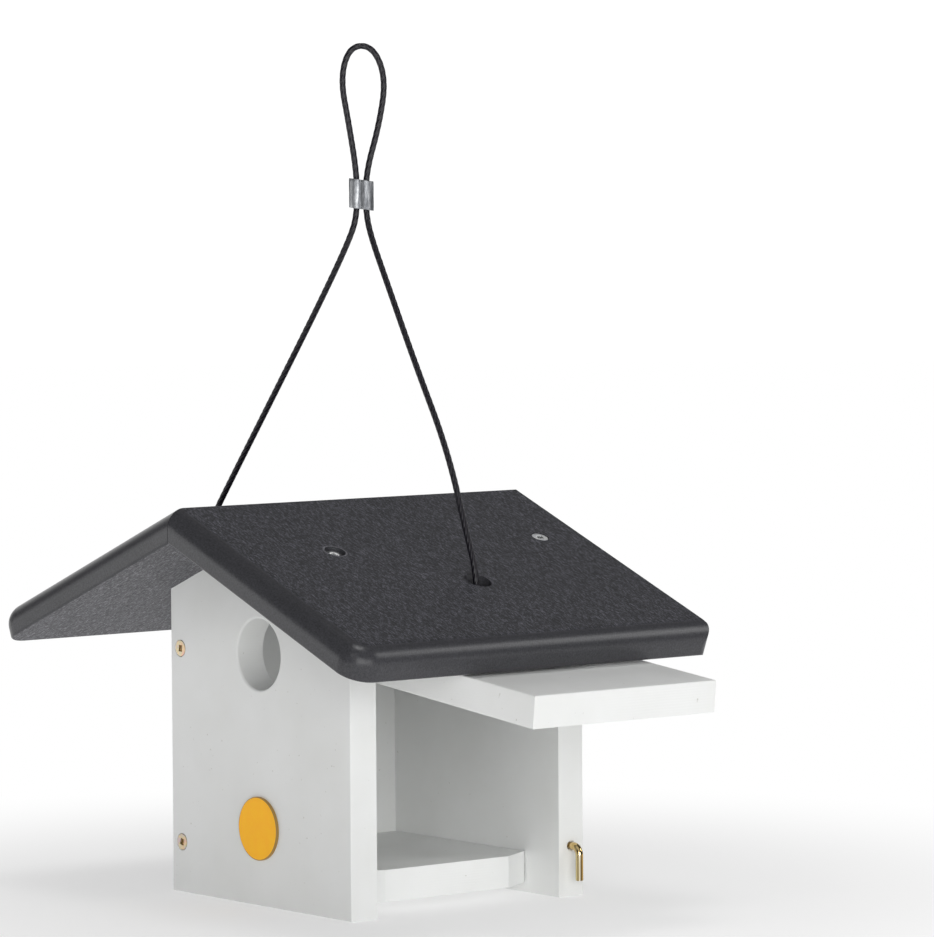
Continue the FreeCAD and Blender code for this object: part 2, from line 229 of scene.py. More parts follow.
def pale_board_material(name, face_axis, colour, tone):
    """Sawn and planed HDPE sheet, pale grey right through.

    The broad faces keep the faint orange peel of the rolled sheet. The cut edges
    show the close, shallow ripple of the saw and look a little smoother and brighter.
    """
    material, tree, shader = new_material(name, {
        "IOR": 1.54, "Specular IOR Level": 0.42, "Subsurface Weight": 0.06,
        "Subsurface Radius": (0.004, 0.004, 0.0036), "Subsurface Scale": 0.5,
    })
    broad = facing(tree, face_axis)
    # Slow change of tone over a few centimetres, as recycled stock has.
    cloud = add_node(tree, "ShaderNodeTexNoise", {"Scale": 1.0, "Detail": 3.0, "Roughness": 0.55},
                     {"Vector": (place(tree, (38, 38, 38)), 0)})
    # Pin-head specks about 0.6 mm across, sparse and faint.
    speck = add_node(tree, "ShaderNodeTexNoise", {"Scale": 1.0, "Detail": 1.0},
                     {"Vector": (place(tree, (1.7, 1.7, 1.7)), 0)})
    speck_mask = add_node(tree, "ShaderNodeMapRange", {"From Min": 0.765, "From Max": 0.83},
                          {"Value": (speck, 0)})
    cloudy = add_node(tree, "ShaderNodeValToRGB",
                      {"stops": [(0.32, tone), (0.68, colour)]}, {"Fac": (cloud, 0)})
    specked = add_node(tree, "ShaderNodeMix",
                       {"data_type": "RGBA", "blend_type": "MULTIPLY", 7: linear("#E2E1DD")},
                       {0: (speck_mask, 0), 6: (cloudy, 0)})
    tree.links.new(specked.outputs[2], shader.inputs["Base Color"])
    # Saw ripple: lines 1.1 mm apart across the thickness, only on the cut edges.
    turn = (0, 0, 0) if abs(face_axis[1]) > 0.5 else (0, 0, math.pi / 2)
    saw = add_node(tree, "ShaderNodeTexWave",
                   {"wave_type": "BANDS", "bands_direction": "Z", "Scale": 0.32, "Distortion": 2.2,
                    "Detail": 2.0, "Detail Scale": 1.4},
                   {"Vector": (place(tree, (1.1, 6.0, 1.1), turn), 0)})
    # Orange peel with bumps just under 1 mm apart, on the broad faces.
    peel = add_node(tree, "ShaderNodeTexNoise", {"Scale": 1.0, "Detail": 2.5, "Roughness": 0.6},
                    {"Vector": (place(tree, (0.9, 0.9, 0.9)), 0)})
    relief = add_node(tree, "ShaderNodeMix", {"data_type": "FLOAT"},
                      {0: (broad, 0), 2: (saw, 1), 3: (peel, 0)})
    # Handling has left duller and shinier patches about 14 mm wide.
    wear = add_node(tree, "ShaderNodeTexNoise", {"Scale": 1.0, "Detail": 4.0, "Roughness": 0.7},
                    {"Vector": (place(tree, (14, 14, 4)), 0)})
    rough = add_node(tree, "ShaderNodeMapRange", {"To Min": 0.38, "To Max": 0.52},
                     {"Value": (wear, 0)})
    tree.links.new(rough.outputs[0], shader.inputs["Roughness"])
    bumps(tree, shader, [(relief, 0.35, 0.035), (cloud, 0.2, 0.12)])
    return material


def roof_board_material(name, side):
    """Charcoal HDPE sheet with a hair-cell grain rolled into its broad faces.

    The grain is short scratches that run down the slope, lighter on their crests. The
    rounded rims were cut with a router, so they are plain and shinier.
    """
    material, tree, shader = new_material(name, {"IOR": 1.52, "Specular IOR Level": 0.32})
    slope_turn = (0, side * -SLOPE, 0)
    where = add_node(tree, "ShaderNodeTexCoord")
    # Height above the board's underside tells its two broad faces from its rims.
    up = (side * math.sin(SLOPE), 0, math.cos(SLOPE))
    rise = add_node(tree, "ShaderNodeVectorMath", {"operation": "DOT_PRODUCT", 1: up},
                    {0: (where, "Object")})
    under = RIDGE_UNDER * math.cos(SLOPE) * MM
    height = add_node(tree, "ShaderNodeMath", {"operation": "SUBTRACT", 1: under},
                      {0: (rise, "Value")})
    top = add_node(tree, "ShaderNodeMapRange",
                   {"From Min": (BOARD - 0.22) * MM, "From Max": (BOARD - 0.04) * MM},
                   {"Value": (height, 0)})
    bottom = add_node(tree, "ShaderNodeMapRange",
                      {"From Min": 0.16 * MM, "From Max": 0.04 * MM},
                      {"Value": (height, 0)})
    grained = add_node(tree, "ShaderNodeMath", {"operation": "ADD", "use_clamp": True},
                       {0: (top, 0), 1: (bottom, 0)})
    # Hair-cell grain: scratches about 0.7 mm wide and 3 mm long, drawn a little
    # coarser than real so that they show, under a grit of half a millimetre.
    hair = add_node(tree, "ShaderNodeTexNoise",
                    {"Scale": 1.0, "Detail": 4.0, "Roughness": 0.6, "Distortion": 0.6},
                    {"Vector": (place(tree, (2.9, 0.7, 1.4), slope_turn), 0)})
    fine = add_node(tree, "ShaderNodeTexNoise", {"Scale": 1.0, "Detail": 3.0, "Roughness": 0.7},
                    {"Vector": (place(tree, (0.9, 0.55, 0.7), slope_turn), 0)})
    grain = add_node(tree, "ShaderNodeMix", {"data_type": "FLOAT", 0: 0.42},
                     {2: (hair, 0), 3: (fine, 0)})
    # Blotches of a few centimetres where the sheet took the roller differently.
    blotch = add_node(tree, "ShaderNodeTexNoise", {"Scale": 1.0, "Detail": 2.0},
                      {"Vector": (place(tree, (26, 26, 26), slope_turn), 0)})
    grain_colour = add_node(tree, "ShaderNodeValToRGB",
                            {"stops": [(0.36, "#0D0D11"), (0.5, "#2A2A30"), (0.63, "#63636C")]},
                            {"Fac": (grain, 0)})
    # Painted light: the underside gets the same grain in much lighter greys, standing in for the
    # light it catches from below.
    painted_lit_underside = add_node(tree, "ShaderNodeValToRGB",
                            {"stops": [(0.36, "#2E2E30"), (0.5, "#55555A"), (0.64, "#96969A")]},
                            {"Fac": (grain, 0)})
    face_colour = add_node(tree, "ShaderNodeMix", {"data_type": "RGBA"},
                           {0: (bottom, 0), 6: (grain_colour, 0), 7: (painted_lit_underside, 0)})
    plain_colour = add_node(tree, "ShaderNodeValToRGB",
                            {"stops": [(0.3, "#2F2F32"), (0.7, "#48484C")]}, {"Fac": (fine, 0)})
    mixed = add_node(tree, "ShaderNodeMix", {"data_type": "RGBA"},
                     {0: (grained, 0), 6: (plain_colour, 0), 7: (face_colour, 2)})
    shade = add_node(tree, "ShaderNodeMapRange", {"To Min": 0.86, "To Max": 1.12},
                     {"Value": (blotch, 0)})
    toned = add_node(tree, "ShaderNodeHueSaturation", {},
                     {"Color": (mixed, 2), "Value": (shade, 0)})
    # The bored mouth over the front screw has a pale burr round it, 1 mm wide.
    sunk = [spot for spot in roof_screw_spots() if spot[0][0] * side > 0 and spot[0][1] < 0]
    burr = ring_mask(tree, sunk, ROOF_MOUTH / 2 + 0.5, 0.5)
    burr_part = add_node(tree, "ShaderNodeMath", {"operation": "MULTIPLY", 1: 0.35},
                         {0: (burr, 0)})
    burred = add_node(tree, "ShaderNodeMix", {"data_type": "RGBA", 7: linear("#8E8E94")},
                      {0: (burr_part, 0), 6: (toned, 0)})
    tree.links.new(burred.outputs[2], shader.inputs["Base Color"])
    rough = add_node(tree, "ShaderNodeMix", {"data_type": "FLOAT", 2: 0.3, 3: 0.6},
                     {0: (grained, 0)})
    tree.links.new(rough.outputs[0], shader.inputs["Roughness"])
    depth = add_node(tree, "ShaderNodeMix", {"data_type": "FLOAT", 2: 0.5},
                     {0: (grained, 0), 3: (grain, 0)})
    bumps(tree, shader, [(depth, 0.75, 0.16), (fine, 0.18, 0.03)])
    return material


YELLOW_ZINC = [(0.28, "#D6B0A2"), (0.42, "#DDC09C"), (0.54, "#CBC3A0"), (0.66, "#CDBABC"),
               (0.8, "#DCC0AE")]
BRIGHT_ZINC = [(0.3, "#B9BCC0"), (0.5, "#D2D4D6"), (0.72, "#E4E4E2")]


def plated_material(name, stops, roughness, patch, painted_glint_spots=()):
    """Zinc-plated steel from a plating barrel: soft colour patches, tiny dull marks.

    A painted glint: a white, non-metallic ring round the recess of the screws chosen for it.
    """
    material, tree, shader = new_material(name, {"Metallic": 1.0})
    tint = add_node(tree, "ShaderNodeTexNoise", {"Scale": 1.0, "Detail": 2.0, "Distortion": 0.6},
                    {"Vector": (place(tree, (patch, patch, patch)), 0)})
    colour = add_node(tree, "ShaderNodeValToRGB", {"stops": stops}, {"Fac": (tint, 0)})
    tree.links.new(colour.outputs[0], shader.inputs["Base Color"])
    if painted_glint_spots:
        # Painted glint: a white ring 1 mm wide that runs through the corners of the recess, with no
        # metal in it.
        scuff = ring_mask(tree, painted_glint_spots, 1.75, 0.55)
        scuffed = add_node(tree, "ShaderNodeMix", {"data_type": "RGBA", 7: linear("#FFFFFF")},
                           {0: (scuff, 0), 6: (colour, 0)})
        tree.links.new(scuffed.outputs[2], shader.inputs["Base Color"])
        plating = add_node(tree, "ShaderNodeMath", {"operation": "SUBTRACT", 0: 1.0},
                           {1: (scuff, 0)})
        tree.links.new(plating.outputs[0], shader.inputs["Metallic"])
    # Knocks from the other screws in the barrel, half a millimetre wide.
    marks = add_node(tree, "ShaderNodeTexNoise", {"Scale": 1.0, "Detail": 4.0, "Roughness": 0.7},
                     {"Vector": (place(tree, (0.5, 0.5, 0.5)), 0)})
    rough = add_node(tree, "ShaderNodeMapRange",
                     {"To Min": roughness - 0.1, "To Max": roughness + 0.16},
                     {"Value": (marks, 0)})
    tree.links.new(rough.outputs[0], shader.inputs["Roughness"])
    bumps(tree, shader, [(marks, 0.25, 0.02)])
    return material


def brass_material():
    """Drawn brass wire, bent and left bright: faint draw lines, a brown bloom, and a painted
    reflection of lengthwise dark and bright bands on the hanging arm.
    """
    material, tree, shader = new_material("Drawn brass", {"Metallic": 1.0})
    bloom = add_node(tree, "ShaderNodeTexNoise", {"Scale": 1.0, "Detail": 3.0},
                     {"Vector": (place(tree, (4, 4, 4)), 0)})
    colour = add_node(tree, "ShaderNodeValToRGB",
                      {"stops": [(0.3, "#B8995C"), (0.55, "#D8BD84"), (0.8, "#EBD7A8")]},
                      {"Fac": (bloom, 0)})
    # Painted reflection on the hanging arm: lengthwise bands, pale, brown, bright, brown, gold,
    # laid across the arm along the camera's right-hand direction.
    where = add_node(tree, "ShaderNodeTexCoord")
    offset = add_node(tree, "ShaderNodeVectorMath",
                      {"operation": "SUBTRACT",
                       1: ((HALF_WIDTH + HOOK_REACH) * MM, PANEL_MIDDLE * MM, 0)},
                      {0: (where, "Object")})
    slide = add_node(tree, "ShaderNodeVectorMath",
                     {"operation": "DOT_PRODUCT", 1: (0.625, 0.78, 0)}, {0: (offset, 0)})
    around = add_node(tree, "ShaderNodeMapRange",
                      {"From Min": -HOOK_WIRE * MM, "From Max": HOOK_WIRE * MM},
                      {"Value": (slide, "Value")})
    painted_reflection_bands = add_node(tree, "ShaderNodeValToRGB",
                       {"stops": [(0.0, "#D8C892"), (0.2, "#D0BE8C"), (0.32, "#7A6336"),
                                  (0.42, "#E8D8A8"), (0.56, "#FFFBEE"), (0.66, "#A08048"),
                                  (0.76, "#5A4424"), (0.88, "#C8A45C")]},
                       {"Fac": (around, 0)})
    parts = add_node(tree, "ShaderNodeSeparateXYZ", {}, {0: (where, "Object")})
    on_arm = add_node(tree, "ShaderNodeMapRange",
                      {"From Min": (HOOK_HEIGHT - 1.6) * MM, "From Max": (HOOK_HEIGHT - 3.0) * MM},
                      {"Value": (parts, 2)})
    drawn = add_node(tree, "ShaderNodeMix", {"data_type": "RGBA"},
                     {0: (on_arm, 0), 6: (colour, 0), 7: (painted_reflection_bands, 0)})
    tree.links.new(drawn.outputs[2], shader.inputs["Base Color"])
    # Fine draw lines, a quarter of a millimetre apart.
    lines = add_node(tree, "ShaderNodeTexNoise", {"Scale": 1.0, "Detail": 3.0, "Roughness": 0.6},
                     {"Vector": (place(tree, (0.25, 0.25, 3.0)), 0)})
    rough = add_node(tree, "ShaderNodeMapRange", {"To Min": 0.05, "To Max": 0.17},
                     {"Value": (lines, 0)})
    tree.links.new(rough.outputs[0], shader.inputs["Roughness"])
    bumps(tree, shader, [(lines, 0.2, 0.02)])
    return material


def label_material(name, colour, edge_colour):
    """Screen-printed vinyl disc, blank: a bright yellow ink, satin, with a slight painted glow (a
    weak yellow emission) that brightens it.
    """
    material, tree, shader = new_material(name, {
        "IOR": 1.5, "Specular IOR Level": 0.25,
        # Painted glow: a weak yellow emission brightens the ink.
        "Emission Color": linear("#FFB414"), "Emission Strength": 0.12,
    })
    # The outer 0.35 mm of the face and the side of the disc are darker than the face.
    where = add_node(tree, "ShaderNodeTexCoord")
    centred = add_node(tree, "ShaderNodeVectorMath",
                       {"operation": "SUBTRACT", 1: (0, -HALF_DEPTH * MM, LABEL_HEIGHT * MM)},
                       {0: (where, "Object")})
    flat = add_node(tree, "ShaderNodeVectorMath", {"operation": "MULTIPLY", 1: (1, 0, 1)},
                    {0: (centred, 0)})
    radius = add_node(tree, "ShaderNodeVectorMath", {"operation": "LENGTH"}, {0: (flat, 0)})
    rim = add_node(tree, "ShaderNodeMapRange",
                   {"From Min": (LABEL_RADIUS - 0.35) * MM, "From Max": LABEL_RADIUS * MM},
                   {"Value": (radius, "Value")})
    # The ink lies unevenly in patches of 5 mm.
    ink = add_node(tree, "ShaderNodeTexNoise", {"Scale": 1.0, "Detail": 3.0},
                   {"Vector": (place(tree, (5, 5, 5)), 0)})
    body = add_node(tree, "ShaderNodeValToRGB",
                    {"stops": [(0.3, "#FAB305"), (0.7, colour)]}, {"Fac": (ink, 0)})
    both = add_node(tree, "ShaderNodeMix", {"data_type": "RGBA", 7: linear(edge_colour)},
                    {0: (rim, 0), 6: (body, 0)})
    tree.links.new(both.outputs[2], shader.inputs["Base Color"])
    rough = add_node(tree, "ShaderNodeMapRange", {"To Min": 0.3, "To Max": 0.42},
                     {"Value": (ink, 0)})
    tree.links.new(rough.outputs[0], shader.inputs["Roughness"])
    grit = add_node(tree, "ShaderNodeTexNoise", {"Scale": 1.0, "Detail": 2.0},
                    {"Vector": (place(tree, (0.5, 0.5, 0.5)), 0)})
    bumps(tree, shader, [(grit, 0.15, 0.015)])
    return material


def cable_material(colour):
    """Black vinyl drawn over wire rope: satin, scuffed lighter on the crowns of the strands."""
    material, tree, shader = new_material("Vinyl coated wire rope",
                                          {"IOR": 1.53, "Specular IOR Level": 0.35})
    crown = add_node(tree, "ShaderNodeAttribute", {"attribute_name": "crown"})
    scuff = add_node(tree, "ShaderNodeTexNoise", {"Scale": 1.0, "Detail": 4.0, "Roughness": 0.7},
                     {"Vector": (place(tree, (1.6, 1.6, 1.6)), 0)})
    amount = add_node(tree, "ShaderNodeMath", {"operation": "MULTIPLY"},
                      {0: (crown, "Fac"), 1: (scuff, 0)})
    mixed = add_node(tree, "ShaderNodeMix",
                     {"data_type": "RGBA", 6: linear(colour), 7: linear("#2C2A34")},
                     {0: (amount, 0)})
    tree.links.new(mixed.outputs[2], shader.inputs["Base Color"])
    rough = add_node(tree, "ShaderNodeMapRange", {"To Min": 0.3, "To Max": 0.46},
                     {"Value": (scuff, 0)})
    tree.links.new(rough.outputs[0], shader.inputs["Roughness"])
    bumps(tree, shader, [(scuff, 0.2, 0.02)])
    return material


def aluminium_material():
    """Extruded aluminium sleeve: lengthwise die lines, dulled by the crimping jaws; the colour of
    the lines is partly a painted reflection of dark and bright bands.
    """
    material, tree, shader = new_material("Extruded aluminium", {"Metallic": 1.0})
    lines = add_node(tree, "ShaderNodeTexNoise", {"Scale": 1.0, "Detail": 4.0, "Roughness": 0.65},
                     {"Vector": (place(tree, (1.3, 1.3, 16.0)), 0)})
    # The jaws have left dull patches about 3 mm wide.
    dull = add_node(tree, "ShaderNodeTexNoise", {"Scale": 1.0, "Detail": 3.0},
                    {"Vector": (place(tree, (2.6, 2.6, 2.6)), 0)})
    # Partly painted reflection: the die lines run from dark grey to near white in the colour,
    # standing in for dark and bright bands reflected along the metal.
    colour = add_node(tree, "ShaderNodeValToRGB",
                      {"stops": [(0.34, "#45474B"), (0.5, "#8C8E92"), (0.66, "#D2D4D6")]},
                      {"Fac": (lines, 0)})
    tree.links.new(colour.outputs[0], shader.inputs["Base Color"])
    rough = add_node(tree, "ShaderNodeMapRange", {"To Min": 0.4, "To Max": 0.62},
                     {"Value": (dull, 0)})
    tree.links.new(rough.outputs[0], shader.inputs["Roughness"])
    bumps(tree, shader, [(lines, 0.35, 0.05), (dull, 0.3, 0.08)])
    return material


def finish_node(name, material):
    """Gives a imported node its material; its mesh is left as it is."""
    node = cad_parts[name]
    node.data.materials.clear()
    node.data.materials.append(material)
    return node


# ---------------------------------------------------------------- mesh helpers

def new_piece(name, bm, material, smooth_angle=35.0):
    """Turns a bmesh into a smooth-shaded object with outward faces."""
    bmesh.ops.remove_doubles(bm, verts=bm.verts, dist=1e-7)
    bmesh.ops.recalc_face_normals(bm, faces=bm.faces)
    limit = math.radians(smooth_angle)
    for face in bm.faces:
        face.smooth = True
    for edge in bm.edges:
        if len(edge.link_faces) == 2 and edge.calc_face_angle(0.0) > limit:
            edge.smooth = False
    mesh = bpy.data.meshes.new(name)
    bm.to_mesh(mesh)
    bm.free()
    mesh.materials.append(material)
    piece = bpy.data.objects.new(name, mesh)
    bpy.context.scene.collection.objects.link(piece)
    return piece


def ring_edges(geometry):
    """The edges among what an operation returned."""
    return [item for item in geometry if isinstance(item, bmesh.types.BMEdge)]


def ring_verts(geometry):
    """The vertices among what an operation returned."""
    return [item for item in geometry if isinstance(item, bmesh.types.BMVert)]


def next_ring(bm, edges):
    """Extrudes a ring of edges in place. Returns the new ring's vertices and edges."""
    result = bmesh.ops.extrude_edge_only(bm, edges=edges)["geom"]
    verts = ring_verts(result)
    known = set(verts)
    new_edges = [e for e in ring_edges(result) if e.verts[0] in known and e.verts[1] in known]
    return verts, new_edges


def turned(bm, edges, rings):
    """Carries a round ring about Z through (radius, height) pairs in metres."""
    for radius, height in rings:
        verts, edges = next_ring(bm, edges)
        for vert in verts:
            around = Vector((vert.co.x, vert.co.y, 0)).normalized() * radius
            vert.co = (around.x, around.y, height)
    return edges


def close_ring(bm, edges):
    """Fills a ring of edges with one face."""
    bmesh.ops.contextual_create(bm, geom=edges)


def start_circle(bm, radius, segments):
    """A circle of edges round Z at height 0."""
    made = bmesh.ops.create_circle(bm, cap_ends=False, segments=segments, radius=radius)
    verts = made["verts"]
    known = set(verts)
    return verts, [e for e in bm.edges if e.verts[0] in known and e.verts[1] in known]


def spun(profile, segments):
    """A new bmesh: a closed (radius, height) profile in mm, spun round Z."""
    bm = bmesh.new()
    verts = [bm.verts.new((r * MM, 0, z * MM)) for r, z in profile]
    edges = [bm.edges.new(pair) for pair in zip(verts, verts[1:] + verts[:1])]
    bmesh.ops.spin(bm, geom=verts + edges, cent=(0, 0, 0), axis=(0, 0, 1), dvec=(0, 0, 0),
                   angle=math.tau, steps=segments, use_merge=True, use_duplicate=False)
    return bm


def aimed(position, direction):
    """Matrix that puts the local origin at position with local +Z along direction."""
    turn = Vector(direction).to_track_quat("Z", "Y").to_matrix().to_4x4()
    return Matrix.Translation(Vector(position)) @ turn


# ---------------------------------------------------------------- cable

def across(offset, height):
    """A point beside the cable's middle line, along the wide side of the loop, in metres."""
    return (offset * math.cos(LOOP_TURN),
            CABLE_HOLE_Y * MM + offset * math.sin(LOOP_TURN), height)


def route_points():
    """The route from the left stop over the loop to the right stop, in metres."""
    return LEFT_ROUTE + [across(o, h) for o, h in LOOP_ROUTE] + RIGHT_ROUTE


def spline_line(points):
    """The smooth line a NURBS spline makes of the route."""
    data = bpy.data.curves.new("cable_route", "CURVE")
    data.dimensions = "3D"
    data.resolution_u = 24
    spline = data.splines.new("NURBS")
    spline.points.add(len(points) - 1)
    for point, place_at in zip(spline.points, points):
        point.co = (*place_at, 1.0)
    spline.order_u = 3
    spline.use_endpoint_u = True
    curve = bpy.data.objects.new("cable_route", data)
    bpy.context.scene.collection.objects.link(curve)
    bpy.context.view_layer.update()
    mesh = bpy.data.meshes.new_from_object(curve)
    line = [v.co.copy() for v in mesh.vertices]
    bpy.data.meshes.remove(mesh)
    bpy.data.objects.remove(curve)
    bpy.data.curves.remove(data)
    return line


def even_steps(line, step):
    """Points along a line at even spacing, both ends kept. Returns them and the line's length."""
    lengths = [0.0]
    for a, b in zip(line, line[1:]):
        lengths.append(lengths[-1] + (b - a).length)
    total = lengths[-1]
    count = max(2, round(total / step))
    points = []
    index = 0
    for number in range(count + 1):
        along = total * number / count
        while index < len(line) - 2 and lengths[index + 1] < along:
            index += 1
        span = lengths[index + 1] - lengths[index]
        share = (along - lengths[index]) / span if span > 0 else 0.0
        points.append(line[index].lerp(line[index + 1], min(1.0, share)))
    return points, total


def stranded_tube(points, radius, dip, strands, lay, around):
    """A tube with the strands of the rope inside showing: a lobed ring that turns as it goes."""
    bm = bmesh.new()
    crown = bm.verts.layers.float.new("crown")
    verts, edges = start_circle(bm, radius, around)
    for vert in verts:
        lobe = 0.5 + 0.5 * math.cos(strands * math.atan2(vert.co.y, vert.co.x))
        vert.co *= 1 - dip / radius * (1 - lobe) ** 1.6
        vert[crown] = lobe
    tangent = (points[1] - points[0]).normalized()
    stance = Vector((0, 0, 1)).rotation_difference(tangent).to_matrix().to_4x4()
    stance.translation = points[0]
    bmesh.ops.transform(bm, matrix=stance, verts=verts)
    close_ring(bm, edges)
    step = (points[1] - points[0]).length
    for before, point, after in zip(points, points[1:], points[2:] + [None]):
        ahead = ((after if after else point) - before).normalized()
        bend = tangent.rotation_difference(ahead)
        spin = Matrix.Rotation(math.tau * step / lay, 4, ahead)
        move = (Matrix.Translation(point) @ spin @ bend.to_matrix().to_4x4()
                @ Matrix.Translation(-before))
        verts, edges = next_ring(bm, edges)
        bmesh.ops.transform(bm, matrix=move, verts=verts)
        tangent = ahead
    close_ring(bm, edges)
    return bm


# ---------------------------------------------------------------- fittings

def sleeve_mesh(tilt):
    """Two barrels joined at the waist, with a bore in each and shallow crimp marks."""
    barrel, pitch, bore = SLEEVE_BARREL * MM, SLEEVE_PITCH * MM, SLEEVE_BORE * MM
    low, high = SLEEVE_LOW * MM, SLEEVE_HIGH * MM
    bm = bmesh.new()
    centre = pitch / 2
    reach = math.acos(-centre / barrel)
    verts, _ = start_circle(bm, barrel, 72)
    for vert in verts:
        side = 1 if vert.co.x >= -1e-9 else -1
        angle = math.atan2(vert.co.y, abs(vert.co.x)) / (math.pi / 2) * reach
        vert.co = (side * (centre + barrel * math.cos(angle)), barrel * math.sin(angle), 0)
    for side in (-1, 1):
        holes, _ = start_circle(bm, bore, 32)
        bmesh.ops.translate(bm, vec=(side * centre, 0, 0), verts=holes)
    bmesh.ops.triangle_fill(bm, use_beauty=True, use_dissolve=False, edges=bm.edges[:])
    height = high - low
    bmesh.ops.solidify(bm, geom=bm.faces[:], thickness=-height)
    bottom = min(v.co.z for v in bm.verts)
    bmesh.ops.translate(bm, vec=(0, 0, -bottom), verts=bm.verts)
    for share in (0.12, 0.2, 0.28, 0.4, 0.5, 0.6, 0.72, 0.8, 0.88):
        bmesh.ops.bisect_plane(bm, geom=bm.verts[:] + bm.edges[:] + bm.faces[:],
                               plane_co=(0, 0, height * share), plane_no=(0, 0, 1))
    for vert in bm.verts:
        outer = abs(abs(vert.co.x) - centre) ** 2 + vert.co.y ** 2 > (bore * 1.2) ** 2
        share = vert.co.z / height
        if outer and 0.1 < share < 0.9:
            pinch = 0.035 * abs(math.sin(share * math.tau))
            vert.co.y *= 1 - pinch * 1.6
            vert.co.x *= 1 + pinch * 0.25
    rims = [e for e in bm.edges if len(e.link_faces) == 2 and e.calc_face_angle(0.0) > 1.0
            and max(v.co.z for v in e.verts) - min(v.co.z for v in e.verts) < 1e-6]
    bmesh.ops.bevel(bm, geom=rims, offset=0.22 * MM, offset_type="OFFSET", segments=2,
                    profile=0.5, affect="EDGES", material=-1)
    lean = Matrix.Identity(4)
    lean[2][0] = -math.tan(tilt)
    stance = (Matrix.Translation((0, CABLE_HOLE_Y * MM, low + height / 2))
              @ Matrix.Rotation(LOOP_TURN, 4, "Z") @ lean @ Matrix.Translation((0, 0, -height / 2)))
    bmesh.ops.transform(bm, matrix=stance, verts=bm.verts)
    return bm


def stop_mesh(side):
    """A crimped ferrule: eased ends and a squeezed waist."""
    bm = spun([(1.5, 0.0), (2.5, 0.0), (2.85, 0.15), (3.0, 0.5), (3.0, 1.6), (2.86, 2.2),
               (2.84, 3.5), (2.86, 4.8), (3.0, 5.4), (3.0, 6.5), (2.85, 6.85), (2.5, 7.0),
               (1.5, 7.0)], 40)
    for vert in bm.verts:
        if math.hypot(vert.co.x, vert.co.y) > 2.2 * MM and 2.0 * MM < vert.co.z < 5.0 * MM:
            vert.co.x *= 0.94
            vert.co.y *= 1.02
    bmesh.ops.translate(bm, verts=bm.verts, vec=(side * CABLE_HOLE_X * MM, CABLE_HOLE_Y * MM,
                                                 STOP_LOW * MM))
    return bm


def washer_mesh(side):
    """A stamped washer: rolled edge on one side, sharp burr edge on the other."""
    bm = spun([(2.3, 0.0), (8.95, 0.0), (9.0, 0.06), (9.0, 0.85), (8.9, 1.12), (8.6, 1.27),
               (8.3, 1.3), (2.6, 1.3), (2.4, 1.22), (2.3, 1.0)], 64)
    under = RIDGE_UNDER - CABLE_HOLE_X * math.tan(SLOPE)
    spot = Vector((side * CABLE_HOLE_X, CABLE_HOLE_Y, under)) * MM
    down = (-side * math.sin(SLOPE), 0, -math.cos(SLOPE))
    bmesh.ops.transform(bm, matrix=aimed(spot, down), verts=bm.verts)
    return bm


def add_screw(bm, head, head_depth, length, matrix):
    """A countersunk screw with a square recess and a threaded shank, head at the local origin.

    Sizes are in millimetres. Local +Z points into the work.
    """
    before = set(bm.verts)
    _, edges = start_circle(bm, (head / 2 - 0.14) * MM, 48)
    # The recess: a square ring on the face, two down its wall, one small one at the bottom.
    inner_edges = edges
    for half, depth in ((DRIVE / 2 + 0.12, 0.02), (DRIVE / 2, 0.16),
                        (DRIVE / 2 - 0.06, DRIVE_DEPTH * 0.88), (0.3, DRIVE_DEPTH)):
        inner, inner_edges = next_ring(bm, inner_edges)
        for vert in inner:
            size = max(abs(vert.co.x), abs(vert.co.y))
            vert.co = (vert.co.x / size * half * MM, vert.co.y / size * half * MM, depth * MM)
    close_ring(bm, inner_edges)
    crest, root = SHANK / 2, SHANK / 2 - THREAD_DEPTH
    rings = [(head / 2, 0.1), (head / 2, 0.28), (crest - 0.35, head_depth),
             (root, head_depth + 1.0)]
    height = head_depth + 2.0
    while height < length - 4.2:
        rings += [(root, height), (crest, height + 0.5), (root, height + 0.95)]
        height += 1.6
    rings += [(root, length - 4.0), (0.3, length - 0.2)]
    close_ring(bm, turned(bm, edges, [(r * MM, z * MM) for r, z in rings]))
    fresh = [v for v in bm.verts if v not in before]
    bmesh.ops.transform(bm, matrix=matrix, verts=fresh)


def wall_screw_spots():
    """Head and direction of each screw into the left wall's edges, in mm."""
    return [((-SIDE_MIDDLE, side * HALF_DEPTH, height), (0, -side, 0))
            for side in (-1, 1) for height in WALL_SCREW_HEIGHTS]


def floor_screw_spots():
    """Head and direction of each screw into the floor's edges, in mm."""
    height = FLOOR_LIFT + BOARD / 2
    return [((-HALF_WIDTH, -FLOOR_SCREW_Y, height), (1, 0, 0)),
            ((-HALF_WIDTH, FLOOR_SCREW_Y, height), (1, 0, 0)),
            ((0, HALF_DEPTH, height), (0, -1, 0))]


def roof_screw_spots():
    """Head and direction of each screw through the roof, left board first, in mm."""
    spots = []
    for side in (-1, 1):
        down = Vector((-side * math.sin(SLOPE), 0, -math.cos(SLOPE)))
        for x, y, sink in ROOF_SCREWS:
            top = Vector((side * x, y, RIDGE_TOP - x * math.tan(SLOPE)))
            spots.append((tuple(top + down * sink), tuple(down)))
    return spots


def screws_mesh(spots, head, head_depth, length, turns):
    """Screws of one size in a single mesh, each turned about its axis by its own angle."""
    bm = bmesh.new()
    for (position, direction), turn in zip(spots, turns):
        matrix = aimed([c * MM for c in position], direction) @ Matrix.Rotation(turn, 4, "Z")
        add_screw(bm, head, head_depth, length, matrix)
    return bm


